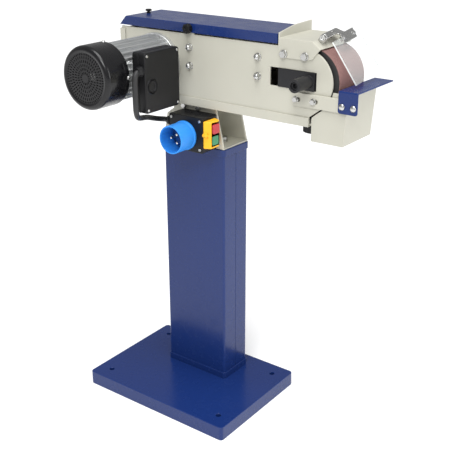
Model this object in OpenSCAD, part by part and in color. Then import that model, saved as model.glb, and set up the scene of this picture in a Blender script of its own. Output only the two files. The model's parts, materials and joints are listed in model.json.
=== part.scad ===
// Pedestal belt grinder with a contact wheel, in millimetres.
// Origin: centre of the base's underside. +X points at the contact wheel,
// -Y at the motor and the switch, +Z up.

/* [Base and column] */
// Length of the base plate along X
base_l = 415; // [380:1:500]
// Width of the base plate along Y
base_w = 300; // [270:1:360]
// Height of the folded base plate
base_h = 35; // [28:1:45]
// Sheet thickness of the base plate
base_wall = 4; // [3:0.5:6]
// Distance of each floor hole from the plate's edges
hole_inset = 38; // [30:1:55]
// Diameter of the floor holes
floor_hole_d = 12; // [9:0.5:16]
// Length of the column's section along X
column_l = 175; // [150:1:210]
// Depth of the column's section along Y
column_w = 92; // [80:1:110]
// Sheet thickness of the column's two shells
column_wall = 3; // [2:0.5:4]
// Height of the column from the base to the head bracket
column_h = 593; // [480:1:720]
// Height of the collars at the column's foot and head
collar_h = 16; // [12:1:24]
// How far the collars stand proud of the column
collar_t = 2.5; // [1.5:0.5:4]
// How far the column stands behind the base's centre line
column_offset = 68; // [60:1:80]

/* [Head bracket] */
// Plate thickness of the head bracket
bracket_t = 5; // [4:0.5:8]
// Height from the column's top to the underside of the head
bracket_h = 94; // [84:1:120]
// Width of the bracket's uprights where they meet the head
bracket_top_l = 130; // [120:1:150]

/* [Head] */
// Width over the side plate and the belt door
head_w = 118; // [114:1:140]
// Height of the head from its underside to the top edge of the side plate
head_h = 157; // [155:1:190]
// Thickness of the side plate that carries the motor and the wheels
plate_t = 4; // [3:0.5:6]
// Sheet thickness of the channels, the hood and the door
sheet_t = 3; // [2:0.5:3.5]
// Height of the folded lips of the bottom channel
lip_h = 19.5; // [14:0.5:24]
// Width of the folded lips of the rear channel
rear_lip = 15; // [10:1:20]
// Distance from the drive wheel's axis to the rear wall
rear_room = 110; // [85:1:130]
// Radius of the side plate's rounded nose
nose_r = 65.5; // [60:0.5:75]
// How far the contact wheel's axis stands in front of the nose's centre
nose_set = 10; // [4:1:16]

/* [Belt and wheels] */
// Width of the abrasive belt
belt_w = 100; // [80:1:104]
// Thickness of the abrasive belt
belt_t = 1.2; // [0.8:0.1:1.6]
// Length of the abrasive belt
belt_length = 1220; // [1180:10:1300]
// Diameter of the contact wheel
contact_d = 130; // [120:1:138]
// Diameter of the drive wheel
drive_d = 140; // [130:1:144]
// X of the contact wheel's axis
contact_x = 308; // [290:1:320]
// Diameter of the contact wheel's axle
axle_d = 20; // [16:1:25]
// Diameter of the motor's shaft
shaft_d = 19; // [14:1:24]
// Length of the slot in which the contact wheel's carrier slides
slot_l = 110; // [100:1:118]
// Height of that slot
slot_h = 38; // [32:1:44]
// How far the carrier slides back to slacken the belt
slack_travel = 16; // [10:1:17]

/* [Motor] */
// Diameter of the fan cover
fan_cover_d = 134; // [126:1:150]
// Length of the fan cover
fan_cover_l = 57; // [48:1:66]
// Length of the motor from the side plate to the end of the fan cover
motor_l = 230; // [210:1:260]
// Diameter over the motor's cooling fins
fin_d = 124; // [112:1:126]
// Diameter of the motor's barrel under the fins
barrel_d = 108; // [100:1:112]
// Number of cooling fins
fin_count = 30; // [24:2:40]
// Thickness of one cooling fin
fin_t = 2.2; // [1.6:0.2:3]
// Length of the terminal box along the motor
terminal_l = 110; // [96:1:120]
// Height of the terminal box
terminal_h = 127; // [110:1:130]
// Distance from the motor's axis to the face of the terminal box
terminal_reach = 98; // [88:1:110]

/* [Guards and rest] */
// Height of the lid over the upper belt run
lid_h = 20; // [16:1:26]
// Gap between the side plate's top edge and the lid
lid_gap = 3.5; // [3:0.5:5]
// Length of the hood's flat top
hood_l = 79; // [70:1:90]
// Height of the hood above the side plate's top edge
hood_h = 16; // [15:1:20]
// Height of the work stop's tall end above the hood
stop_h = 21; // [15:1:30]
// Width of the visor
visor_w = 125; // [100:1:132]
// Length of the visor
visor_l = 96; // [80:1:100]
// Thickness of the visor
visor_t = 3; // [2:0.5:4]
// Angle at which the visor stands off square
visor_cant = 7; // [0:1:8]
// Width of the flat arm that carries the work rest
arm_h = 28; // [24:1:32]
// Thickness of that arm
arm_t = 5; // [4:0.5:6]
// Length of the work rest's table along Y
rest_l = 150; // [130:1:170]
// Depth of the work rest's table along X
rest_depth = 43; // [34:1:48]
// Sheet thickness of the work rest
rest_t = 3; // [2:0.5:4]
// Gap between the belt and the work rest
rest_gap = 7; // [3:0.5:9]
// Height of the dust box
box_h = 107; // [95:1:112]
// Length of the dust box along X at its floor
box_l = 74; // [68:1:90]
// Outer diameter of the dust spigot
port_d = 50; // [40:1:54]

/* [Electrics] */
// Width of the switch box along X
switch_box_l = 95; // [90:1:110]
// Height of the switch box
switch_box_h = 80; // [72:1:80]
// Depth of the switch box along Y
switch_box_d = 51; // [46:1:60]
// Outer diameter of the mains inlet's shroud
inlet_d = 64; // [56:1:66]
// Length of the inlet's shroud
inlet_l = 50; // [40:1:60]
// Travel of the start and stop buttons
button_travel = 3; // [2:0.5:4]
// Diameter of the motor cable
cable_d = 12; // [10:1:12]

/* [Fits] */
// Radial running clearance of shafts and hinge pins
running = 0.05; // [0.02:0.01:0.1]
// Gap between curved faces that roll or slide together
skin_gap = 0.3; // [0.25:0.05:0.5]
// Clearance of a sliding block in its slot, on each side
slide_gap = 0.25; // [0.15:0.05:0.4]
// Gap between neighbouring sheet metal parts
sheet_gap = 2; // [1:0.5:3]

/* [Hidden] */
$fn = 64;

blue = [0.08, 0.14, 0.42];
grey = [0.74, 0.73, 0.67];
black = [0.09, 0.09, 0.10];
steel = [0.72, 0.73, 0.75];
bright_blue = [0.16, 0.50, 0.92];
yellow = [0.96, 0.68, 0.12];

// Heights
column_top = base_h + column_h;
head_floor = column_top + bracket_h;
head_top = head_floor + head_h;
lip_top = head_floor + lip_h;

// Places across the head
head_y = column_offset;
plate_y = head_y - head_w / 2;
plate_in = plate_y + plate_t;
skin_y = plate_y - sheet_t;
far_in = head_y + head_w / 2 - sheet_t;
far_y = head_y + head_w / 2;
skin_far = far_y + sheet_t;

// Wheels and belt: the upper run is level, so the two wheels' tops line up
contact_r = contact_d / 2;
drive_r = drive_d / 2;
belt_top = head_top + 2.5;
belt_in = belt_top - belt_t;
contact_z = belt_in - skin_gap - contact_r;
drive_z = belt_in - skin_gap - drive_r;
neutral = skin_gap + belt_t / 2;
belt_run = (belt_length - PI * (contact_r + drive_r + 2 * neutral)) / 2;
drive_x = contact_x - belt_run;
lower_slope = 2 * atan((drive_r - contact_r) / belt_run);
belt_y = head_y - belt_w / 2;

// Outline of the head
rear_x = drive_x - rear_room;
nose_x = contact_x - nose_set;
nose_z = head_top - nose_r;
belly_front = nose_x + 14;
nose_foot = 50;
slot_x = nose_x - 82;
slot_z = contact_z - slot_h / 2;

// Guards
hood_x = nose_x - 62;
hood_top = head_top + hood_h;
hood_fall = 36.6;
hood_front = hood_x + hood_l;
hood_drop = 19;
lid_x = rear_x;
lid_end = hood_x - sheet_gap;
lid_bottom = head_top + lid_gap;
lid_top = lid_bottom + lid_h;
hinge_r = 3.5;
pin_r = 2;
knuckle_l = 24;
lid_axis_y = skin_far + hinge_r + 0.5;
lid_axis_z = lid_bottom + 1.5;
hinge_post_y = skin_far + 1;

// Belt door
door_x = rear_x + rear_lip + sheet_gap;
door_z = lip_top + sheet_gap;
door_axis_y = skin_far + hinge_r + 0.5;
door_axis_z = lip_top + 1;
door_hinge_x = [door_x + 40, belly_front - 110];
post_z = contact_z - 8;
post_rear_x = drive_x + 0.36 * belt_run;
post_front_x = drive_x + 0.6 * belt_run;

// Holes and bolts of the head
foot_bolt_x = [-23, 18];
foot_washer = 13;
foot_bolt_z = head_floor - foot_washer / 2 - 0.1;
foot_t = 5;
pilot_d = 80;
flange_pcd = 100;
platen_bolt_x = [drive_x + 93, drive_x + 273];
platen_bolt_z = [contact_z + 36, contact_z - 4];
platen_x = drive_x + 58;
platen_end = contact_x - 58;
platen_z = belt_in - skin_gap;
hood_bolt_x = [hood_x + 14, hood_x + 64];
hood_bolt_z = head_top - 15;
lug_h = lid_gap + lid_h * 0.7;
lid_knob_x = 6;
lid_knob_z = lid_bottom + 9;
rear_knob_x = lid_x + 34;

// Visor hinge, in a frame that lies on the hood's sloped face
pivot_rise = 12.7;
pivot_y = skin_y + 20;
pivot_x = hood_front + 0.28 * hood_drop + pivot_rise * sin(hood_fall);
pivot_z = hood_top - 0.28 * hood_drop * tan(hood_fall) + pivot_rise * cos(hood_fall);
barrel_r = 6.5;
barrel_l = 62;
visor_tilt = 20.9;
visor_screw_y = [45, 91];

// Work rest
rest_x = contact_x + contact_r + skin_gap + belt_t + rest_gap;
arm_y = plate_y - arm_t - slide_gap;
arm_z = contact_z - 52;
arm_x = nose_x - 23;
rest_z = arm_z + arm_h + 17;
rest_in = rest_gap - 1;
rest_out = 4;
arm_bolt_x = [nose_x - 15, nose_x + 26];
arm_bolt_z = arm_z + arm_h / 2;
tab_bolt_x = [rest_x + 9, rest_x + rest_depth - 9];

// Dust box
box_x = belly_front + 6;
box_floor = head_floor - 29;
box_top = box_floor + box_h;
box_lean = 8;
box_t = 2;
belt_room = 4;
port_x = belly_front - 20;

// Contact wheel
boss_end = plate_y - 54;
boss_d = 27;
carrier_t = 3;
bearing_w = 12;
bearing_d = 42;
tyre_t = 14;

// Motor
flange_t = 12;
flange_d = 128;
cover_y = plate_y - motor_l;
barrel_y = plate_y - flange_t;
fan_y = cover_y + fan_cover_l;
terminal_y = barrel_y - 32 - terminal_l;
terminal_z = drive_z - terminal_h / 2 - 13;
terminal_x = drive_x + terminal_reach;
terminal_lid_t = 18;
terminal_in = drive_x + fin_d / 2 + 2;

// Switch box on the near upright
upright_y = head_y - column_w / 2;
switch_x = -27;
switch_z = column_top + 0.5;
switch_y = upright_y - switch_box_d;
inlet_x = switch_x + 45;
inlet_z = switch_z + 35.5;
button_x = switch_x + switch_box_l;
plate_cy = switch_y + 22;
plate_cz = switch_z + switch_box_h / 2 + 3;
core_d = 38;
core_l = 14;
pin_d = 5.5;
switch_w = 42;
switch_hh = 61;
switch_t = 18;
button_w = 22;
button_h = 21;
stop_z = plate_cz + 13;
start_z = plate_cz - 13;
well_depth = 9;

// Route of the motor cable: out of the terminal box, down and into the switch box
cable_points = [[0, -147, 824], [0, -152, 824], [0, -158, 822], [0, -162.5, 817],
    [0, -164.5, 810], [0, -165, 802], [0, -165, 792], [0, -165, 782], [0, -165, 772],
    [0, -165, 762], [-0.5, -164.5, 752], [-1.5, -163, 743], [-3.5, -159.5, 735],
    [-7, -154, 728.5], [-11.5, -146, 723.5], [-16.5, -136, 720], [-22, -124, 717],
    [-28, -111, 714], [-35, -97, 710.5], [-42, -83, 706.5], [-48.5, -69, 702],
    [-53, -56, 697.5], [-55, -43.5, 693.5], [-54.5, -33, 690.5], [-51, -25, 689],
    [-46, -21, 688.5], [-41, -20, 688.5], [-38, -20, 688.5]];
// The drop moves with the motor, the rest with the column's top
cable_drop = [for (i = [0 : 9]) cable_points[i] + [drive_x + 87.11, 0, drive_z - 810]];
cable_rest = [for (i = [10 : len(cable_points) - 1]) cable_points[i] + [0, 0, column_top - 628]];
cable_route = concat(cable_drop, cable_rest);

// ---- shapes that repeat ----

// Extrudes a side view, drawn with x as X and y as Z, along Y from y
module along_y(y, w) {
    translate([0, y + w, 0]) rotate([90, 0, 0]) linear_extrude(w) children();
}

module y_rod(x, y, z, d, l) {
    translate([x, y, z]) rotate([-90, 0, 0]) cylinder(d = d, h = l);
}

module x_rod(x, y, z, d, l) {
    translate([x, y, z]) rotate([0, 90, 0]) cylinder(d = d, h = l);
}

module z_rod(x, y, z, d, l) {
    translate([x, y, z]) cylinder(d = d, h = l);
}

// A rectangle with round corners, from its lower left corner
module round_rect(l, w, r) {
    translate([r, 0]) square([l - 2 * r, w]);
    translate([0, r]) square([l, w - 2 * r]);
    for (x = [r, l - r], y = [r, w - r]) translate([x, y]) circle(r);
}

// A slot drawn from the centre of its left end to the centre of its right end
module slot_shape(l, r) {
    translate([0, -r]) square([l, 2 * r]);
    circle(r);
    translate([l, 0]) circle(r);
}

// A hexagon bolt head with its washer; the washer's back face is at y = 0, head towards -Y
module bolt_head(x, y, z, af, washer_d) {
    washer_t = 1.6;
    y_rod(x, y - washer_t, z, washer_d, washer_t);
    translate([x, y - washer_t, z]) rotate([90, 0, 0]) cylinder(d = af / cos(30), h = af * 0.5, $fn = 6);
}

// A pan head screw facing -Y, with a cross recess
module pan_screw(x, y, z, d) {
    difference() {
        translate([x, y, z]) rotate([90, 0, 0]) cylinder(d1 = d, d2 = d * 0.8, h = d * 0.35);
        for (a = [0, 90]) translate([x, y - d * 0.35, z]) rotate([0, a, 0])
            cube([d * 0.6, d * 0.3, d * 0.14], center = true);
    }
}

// A dished plastic knob whose foot is at y = 0 and which stands out towards dir
module grip_knob(d, h, lobes) {
    difference() {
        cylinder(d = d, h = h);
        for (i = [0 : lobes - 1]) rotate([0, 0, i * 360 / lobes])
            translate([d * 0.58, 0, h * 0.25]) cylinder(d = d * 0.28, h = h);
        translate([0, 0, h - 1]) cylinder(d = d * 0.4, h = 2);
    }
}

// ---- base and column ----

module base_plate() {
    color(blue) {
        difference() {
            translate([-base_l / 2, -base_w / 2, 0]) linear_extrude(base_h)
                round_rect(base_l, base_w, 8);
            translate([-base_l / 2 + base_wall, -base_w / 2 + base_wall, -1])
                linear_extrude(base_h - base_wall + 1)
                round_rect(base_l - 2 * base_wall, base_w - 2 * base_wall, 8 - base_wall);
            floor_holes(floor_hole_d, -1, base_h + 2);
        }
        // tubes that carry the floor bolts' load down to the floor
        difference() {
            floor_holes(2 * floor_hole_d, 0, base_h - base_wall);
            floor_holes(floor_hole_d, -1, base_h + 2);
        }
    }
}

module floor_holes(d, z, h) {
    for (sx = [-1, 1], sy = [-1, 1])
        z_rod(sx * (base_l / 2 - hole_inset), sy * (base_w / 2 - hole_inset), z, d, h);
}

// One of the column's two U-shaped shells; side is -1 for the near one
module column_shell(side) {
    seam = 0.6;
    r = 5;
    color(blue) difference() {
        translate([-column_l / 2, head_y - column_w / 2, base_h]) linear_extrude(column_h)
            round_rect(column_l, column_w, r);
        translate([-column_l / 2 + column_wall, head_y - column_w / 2 + column_wall, base_h - 1])
            linear_extrude(column_h + 2)
            round_rect(column_l - 2 * column_wall, column_w - 2 * column_wall, r - column_wall);
        translate([-column_l, side < 0 ? head_y - seam / 2 : head_y + seam / 2 - column_w, base_h - 1])
            cube([2 * column_l, column_w, column_h + 2]);
    }
}

module column_collars() {
    color(blue) for (z = [base_h, column_top - collar_h]) difference() {
        translate([-column_l / 2 - collar_t, head_y - column_w / 2 - collar_t, z])
            linear_extrude(collar_h)
            round_rect(column_l + 2 * collar_t, column_w + 2 * collar_t, 5 + collar_t);
        translate([-column_l / 2, head_y - column_w / 2, z - 1]) linear_extrude(collar_h + 2)
            round_rect(column_l, column_w, 5);
    }
}

module head_bracket() {
    half = column_l / 2;
    top = bracket_top_l / 2;
    z0 = column_top;
    z1 = head_floor - sheet_gap / 2;
    color(grey) difference() {
        union() {
            translate([-half, upright_y, z0]) cube([column_l, column_w, bracket_t]);
            along_y(upright_y, bracket_t)
                polygon([[-half, z0], [half, z0], [top, z1], [-top / 2, z1], [3 - half * 0.9, z1 - 31]]);
            along_y(upright_y + column_w - bracket_t, bracket_t)
                polygon([[-half, z0], [half, z0], [top, z1], [-top, z1]]);
        }
        bracket_holes(upright_y - 1, column_w + 2);
        for (x = [-50, 50]) z_rod(x, head_y, z0 - 1, 12.4, bracket_t + 2);
    }
}

module bracket_holes(y, w) {
    for (x = foot_bolt_x) y_rod(x, y, foot_bolt_z, 8.4, w);
}

// Inverted channel under the head, which the bracket's uprights clasp
module head_foot() {
    gap = 0.5;
    w = column_w - 2 * bracket_t - 2 * gap;
    y = head_y - w / 2;
    color(grey) difference() {
        translate([-60, y, head_floor - 26]) cube([120, w, 26]);
        translate([-61, y + foot_t, head_floor - 27]) cube([122, w - 2 * foot_t, 27 - foot_t]);
        bracket_holes(y - 1, w + 2);
    }
}

module bracket_bolts() {
    l = bracket_t + foot_t + 9;
    color(steel) {
        for (x = foot_bolt_x) {
            bolt_head(x, upright_y, foot_bolt_z, 11, foot_washer);
            y_rod(x, upright_y, foot_bolt_z, 8, l);
            mirror_far() {
                bolt_head(x, upright_y, foot_bolt_z, 11, foot_washer);
                y_rod(x, upright_y, foot_bolt_z, 8, l);
            }
        }
        for (x = [-50, 50]) {
            z_rod(x, head_y, column_top - 22, 12, 22 + bracket_t);
            z_rod(x, head_y, column_top + bracket_t, 24, 2);
            translate([x, head_y, column_top + bracket_t + 2]) cylinder(d = 18 / cos(30), h = 8, $fn = 6);
        }
    }
}

// Mirrors across the belt's centre plane
module mirror_far() {
    translate([0, 2 * head_y, 0]) mirror([0, 1, 0]) children();
}

// ---- head ----

module side_plate() {
    foot = [nose_x + nose_r * cos(nose_foot), nose_z - nose_r * sin(nose_foot)];
    color(grey) difference() {
        along_y(plate_y, plate_t) difference() {
            union() {
                polygon([[rear_x + sheet_t, head_floor + sheet_t], [belly_front, head_floor + sheet_t],
                    [belly_front, lip_top + 1], foot, [nose_x, nose_z], [nose_x, head_top],
                    [rear_x + sheet_t, head_top]]);
                translate([nose_x, nose_z]) circle(nose_r);
            }
            translate([slot_x, slot_z]) square([slot_l, slot_h]);
        }
        y_rod(drive_x, plate_y - 1, drive_z, pilot_d, plate_t + 2);
        flange_holes(7, plate_y - 1, plate_t + 2);
        platen_holes(8.4, plate_y - 1, plate_t + 2);
        hood_holes(8.4, plate_y - 1, plate_t + 2);
        for (x = arm_bolt_x) y_rod(x, plate_y - 1, arm_bolt_z, 8, plate_t + 2);
    }
    // lug behind the lid's skirt that the lid's knob bears on
    color(grey) translate([lid_knob_x - 11, plate_y, head_top]) cube([22, plate_t, lug_h]);
}

module flange_holes(d, y, l) {
    for (a = [45 : 90 : 315])
        y_rod(drive_x + flange_pcd / 2 * cos(a), y, drive_z + flange_pcd / 2 * sin(a), d, l);
}

module platen_holes(d, y, l) {
    for (x = platen_bolt_x, z = platen_bolt_z) y_rod(x, y, z, d, l);
}

module hood_holes(d, y, l) {
    for (x = hood_bolt_x) y_rod(x, y, hood_bolt_z, d, l);
}

module belly_channel() {
    l = belly_front - rear_x;
    color(grey) difference() {
        translate([rear_x, skin_y, head_floor]) cube([l, skin_far - skin_y, lip_h]);
        translate([rear_x + sheet_t, plate_y, head_floor + sheet_t]) cube([l, head_w, lip_h]);
        z_rod(port_x, head_y, head_floor - 1, port_d - 6, sheet_t + 2);
    }
}

module rear_channel() {
    // arm and post that the lid's rear knob screws down to
    color(grey) {
        translate([rear_x + 1, head_y - 8, head_top - 13]) cube([rear_knob_x - rear_x + 5, 16, sheet_t]);
        z_rod(rear_knob_x, head_y, head_top - 11, 10, lid_top - 6 - head_top + 11);
    }
    color(grey) difference() {
        translate([rear_x, skin_y, lip_top]) cube([rear_lip, skin_far - skin_y, head_top - 5 - lip_top]);
        translate([rear_x + sheet_t, plate_y, lip_top - 1]) cube([rear_lip, head_w, head_h]);
    }
}

module platen() {
    bevel = 3;
    color(steel) along_y(belt_y, belt_w)
        polygon([[platen_x, platen_z - 5], [platen_end, platen_z - 5], [platen_end, platen_z - bevel],
            [platen_end - 2 * bevel, platen_z], [platen_x + 2 * bevel, platen_z],
            [platen_x, platen_z - bevel]]);
}

// Brackets that carry the platen from the side plate
module platen_brackets() {
    w = 30;
    t = 5;
    top = platen_z - 5;
    low = platen_bolt_z[1] - 10;
    color(grey) difference() {
        for (x = platen_bolt_x) {
            translate([x - w / 2, plate_in, low]) cube([w, t, top - low]);
            translate([x - w / 2, plate_in, top - t]) cube([w, hinge_post_y + 5 - plate_in, t]);
            translate([x - t / 2, plate_in + t, top - 40]) cube([t, 50, 40 - t]);
        }
        platen_holes(8.1, plate_y - 1, plate_t + 2 + t);
    }
}

module frame_bolts() {
    color(steel) for (x = platen_bolt_x, z = platen_bolt_z) {
        y_rod(x, plate_y - 1.6, z, 16, 1.6);
        translate([x, plate_y - 1.6, z]) rotate([90, 0, 0]) cylinder(d = 13 / cos(30), h = 6, $fn = 6);
        translate([x, plate_y - 7.6, z]) rotate([90, 0, 0]) cylinder(d1 = 11.6, d2 = 7, h = 4);
        y_rod(x, plate_y, z, 8, plate_t + 5);
    }
    // low-headed screws of the motor's flange, inside the head
    color(steel) {
        flange_holes(13, plate_in, 3);
        flange_holes(7, plate_y - flange_t + 2, plate_t + flange_t - 2);
    }
}

module door_posts() {
    color(steel) for (x = [post_rear_x, post_front_x])
        y_rod(x, plate_in, post_z, 18, far_in - 0.5 - plate_in);
}

// Outline of the belt's inner face, grown outwards
module belt_outline(grow) {
    steps = 60;
    rc = contact_r + skin_gap + grow;
    rd = drive_r + skin_gap + grow;
    polygon([for (i = [0 : 2 * steps + 1]) let (
        front = i <= steps,
        a = front ? lower_slope - 90 + (180 - lower_slope) * i / steps
            : 90 + (180 + lower_slope) * (i - steps - 1) / steps)
        [front ? contact_x : drive_x, front ? contact_z : drive_z] + (front ? rc : rd) * [cos(a), sin(a)]]);
}

module abrasive_belt() {
    color([0.43, 0.24, 0.22]) along_y(belt_y, belt_w) difference() {
        belt_outline(belt_t);
        belt_outline(0);
    }
}

// ---- hood, work stop, lid and door ----

module hood() {
    t = sheet_t;
    fall_z = hood_drop * tan(hood_fall);
    edge = [hood_front + hood_drop, hood_top - fall_z];
    low = hood_bolt_z - 8;
    color(grey) difference() {
        union() {
            along_y(skin_y, t) polygon([[hood_x, hood_top], [hood_front, hood_top], edge,
                [edge[0] - 8, edge[1] - 9], [hood_bolt_x[1] + 16, low + 3], [hood_bolt_x[1] + 4, low],
                [hood_bolt_x[0] - 4, low], [hood_bolt_x[0] - 14, low + 6]]);
            along_y(skin_y, skin_far - skin_y) polygon([[hood_x, hood_top - t],
                [hood_front - t / 3, hood_top - t], [edge[0] - 2, edge[1] - 1.5], edge,
                [hood_front, hood_top], [hood_x, hood_top]]);
            along_y(skin_far - t, t) polygon([[hood_x, hood_top], [hood_front, hood_top],
                [hood_front + 6, hood_top - 7], [hood_x, hood_top - 7]]);
            work_stop();
        }
        hood_holes(8.4, skin_y - 1, t + 2);
    }
}

// Upstand at the end of the lid, low at the near side
module work_stop() {
    near_h = 10;
    rise_l = 56;
    translate([hood_x, 0, hood_top]) rotate([90, 0, 90]) linear_extrude(sheet_t)
        polygon([[skin_y, 0], [skin_y, near_h], [skin_y + rise_l, stop_h - 2], [skin_far, stop_h],
            [skin_far, 0]]);
}

module hood_bolts() {
    color(steel) for (x = hood_bolt_x) {
        y_rod(x, skin_y - 2, hood_bolt_z, 17, 2);
        translate([x, skin_y - 2, hood_bolt_z]) rotate([90, 0, 0])
            cylinder(d = 13 / cos(30), h = 5.5, $fn = 6);
        y_rod(x, skin_y, hood_bolt_z, 8, sheet_t + plate_t + 4);
    }
}

// One barrel of a hinge along X
module knuckle(x, y, z, l) {
    x_rod(x, y, z, 2 * hinge_r, l);
}

// Fixed halves and pins of the lid's hinges, on the platen brackets' arms, and of the door's
module hinges() {
    low = platen_z - 5;
    color(steel) {
        for (x = platen_bolt_x) {
            translate([x - knuckle_l / 2, hinge_post_y, low]) cube([knuckle_l, 5, lid_axis_z - low]);
            knuckle(x - knuckle_l / 2, lid_axis_y, lid_axis_z, knuckle_l);
            x_rod(x + knuckle_l / 2, lid_axis_y, lid_axis_z, 2 * pin_r, knuckle_l + 1);
        }
        for (x = door_hinge_x) {
            translate([x, skin_far, door_axis_z - hinge_r]) cube([knuckle_l, 4, 3]);
            knuckle(x, door_axis_y, door_axis_z, knuckle_l);
            x_rod(x + knuckle_l, door_axis_y, door_axis_z, 2 * pin_r, knuckle_l + 1);
        }
    }
}

module lid() {
    slope = 19;
    t = 2;
    color(blue) difference() {
        union() {
            along_y(skin_y, skin_far - skin_y) polygon([[lid_x, lid_bottom], [lid_end, lid_bottom],
                [lid_end, lid_top], [lid_x + slope, lid_top]]);
            for (x = platen_bolt_x) {
                knuckle(x + knuckle_l / 2 + 0.5, lid_axis_y, lid_axis_z, knuckle_l);
                translate([x + knuckle_l / 2 + 0.5, skin_far - 0.5, lid_axis_z - 1.5])
                    cube([knuckle_l, 4.5, 4]);
            }
        }
        along_y(skin_y + t, skin_far - skin_y - 2 * t) polygon([[lid_x + t + 1, lid_bottom - 1],
            [lid_end - t, lid_bottom - 1], [lid_end - t, lid_top - t], [lid_x + slope + 1, lid_top - t]]);
        for (x = platen_bolt_x)
            x_rod(x + knuckle_l / 2, lid_axis_y, lid_axis_z, 2 * (pin_r + running), knuckle_l + 2);
        y_rod(lid_knob_x, skin_y - 1, lid_knob_z, 6 + 2 * running, t + 2);
        z_rod(rear_knob_x, head_y, lid_top - t - 1, 6 + 2 * running, t + 2);
    }
}

// Round knob on the lid's near skirt; its shank bears on the side plate's lug
module lid_knob() {
    color(black) {
        translate([lid_knob_x, skin_y - 0.2, lid_knob_z]) rotate([90, 0, 0]) grip_knob(21, 11, 7);
        y_rod(lid_knob_x, skin_y - 0.2, lid_knob_z, 6, sheet_t);
    }
}

module rear_knob() {
    color(black) {
        z_rod(rear_knob_x, head_y, lid_top - 5, 6, 13);
        z_rod(rear_knob_x, head_y, lid_top + 0.2, 9, 3);
        translate([rear_knob_x, head_y, lid_top + 7]) rotate_extrude() intersection() {
            translate([0, -3.5]) square([9, 7]);
            union() {
                translate([0, -2]) square([7, 4]);
                translate([5, 0]) circle(2);
            }
        }
    }
}

module door_outline() {
    foot = [nose_x + nose_r * cos(nose_foot), nose_z - nose_r * sin(nose_foot)];
    polygon([[door_x, door_z], [belly_front, door_z], foot, [nose_x, nose_z], [nose_x, head_top],
        [door_x, head_top]]);
    translate([nose_x, nose_z]) circle(nose_r);
}

module belt_door() {
    notch_w = knuckle_l + 8;
    notch_z = platen_z - 14;
    color(grey) difference() {
        union() {
            along_y(far_in, sheet_t) difference() {
                door_outline();
                for (x = platen_bolt_x) translate([x - notch_w / 2, notch_z]) square([notch_w, 40]);
            }
            for (x = door_hinge_x) {
                knuckle(x + knuckle_l + 0.5, door_axis_y, door_axis_z, knuckle_l);
                translate([x + knuckle_l + 0.5, far_y - 0.5, door_z]) cube([knuckle_l, 6.5, 3]);
            }
        }
        for (x = door_hinge_x)
            x_rod(x + knuckle_l, door_axis_y, door_axis_z, 2 * (pin_r + running), knuckle_l + 2);
        for (x = [post_rear_x, post_front_x]) y_rod(x, far_in - 1, post_z, 8 + 2 * running, sheet_t + 2);
    }
}

// Star knob of the door, with a short shank in the door's hole
module door_knob(x) {
    color(black) {
        translate([x, far_y + 0.2, post_z]) rotate([-90, 0, 0]) {
            cylinder(d = 16, h = 6);
            translate([0, 0, 6]) grip_knob(32, 14, 5);
        }
        y_rod(x, far_in, post_z, 8, sheet_t + 1);
    }
}

// ---- motor ----

module motor_flange() {
    y = plate_y - flange_t;
    color([0.62, 0.63, 0.63]) difference() {
        union() {
            y_rod(drive_x, y, drive_z, flange_d, flange_t);
            y_rod(drive_x, plate_y, drive_z, pilot_d - 0.4, plate_t - 0.5);
        }
        y_rod(drive_x, y - 1, drive_z, 40, flange_t + plate_t + 2);
        flange_holes(7, y - 1, flange_t + 2);
    }
    // bearing shield behind the flange
    color([0.62, 0.63, 0.63]) difference() {
        y_rod(drive_x, y, drive_z, 40, 8);
        y_rod(drive_x, y - 1, drive_z, shaft_d + 2 * running, 10);
    }
}

module motor_housing() {
    l = barrel_y - fan_y;
    y = fan_y;
    color([0.70, 0.71, 0.72]) difference() {
        union() {
            along_y(y, l) {
                translate([drive_x, drive_z]) circle(d = barrel_d);
                for (i = [0 : fin_count - 1]) translate([drive_x, drive_z]) rotate(i * 360 / fin_count)
                    translate([0, -fin_t / 2]) square([fin_d / 2, fin_t]);
            }
            translate([drive_x + 30, terminal_y + 6, drive_z - 40])
                cube([terminal_in - drive_x - 30, terminal_l - 12, 70]);
        }
        cover_screw_places() cylinder(d = 4, h = 12);
        y_rod(drive_x, y + 8, drive_z, barrel_d - 12, l);
        y_rod(drive_x, y - 1, drive_z, shaft_d + 2 * running, l + 2);
    }
}

// Dished cover over the cooling fan, with slots in its end
module fan_cover() {
    r = fan_cover_d / 2;
    round_r = 13;
    t = 2;
    color(black) difference() {
        translate([drive_x, fan_y + 6, drive_z]) rotate([90, 0, 0]) rotate_extrude() difference() {
            cover_profile(r, round_r, fan_cover_l + 6);
            cover_profile(r - t, round_r - t, fan_cover_l + 6 - t);
        }
        translate([drive_x, cover_y - 1, drive_z]) rotate([-90, 0, 0]) {
            for (ring = [0 : 2]) {
                n = 12 + 8 * ring;
                for (i = [0 : n - 1]) rotate([0, 0, i * 360 / n])
                    translate([10 + 12 * ring, -1.4, 0]) cube([9, 2.8, t + 2]);
            }
        }
        cover_screw_places() cylinder(d = 4.2, h = 20);
    }
}

module cover_profile(r, c, l) {
    square([r, l - c]);
    square([r - c, l]);
    translate([r - c, l - c]) circle(c);
}

module cover_screw_places() {
    for (a = [0 : 90 : 270]) translate([drive_x, fan_y + 3, drive_z]) rotate([0, a, 0])
        translate([fin_d / 2 - 6, 0, 0]) rotate([0, 90, 0]) children();
}

module cover_screws() {
    reach = fan_cover_d / 2 - fin_d / 2 + 6;
    color(steel) cover_screw_places() {
        cylinder(d = 4, h = reach + 0.5);
        translate([0, 0, reach]) cylinder(d1 = 8, d2 = 6, h = 2.5);
    }
}

module motor_shaft() {
    end = belt_y + 60;
    color(steel) {
        y_rod(drive_x, fan_y - 34, drive_z, shaft_d, end - fan_y + 34);
        y_rod(drive_x, fan_y + 34, drive_z, barrel_d - 28, barrel_y - fan_y - 60);
    }
}

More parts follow.
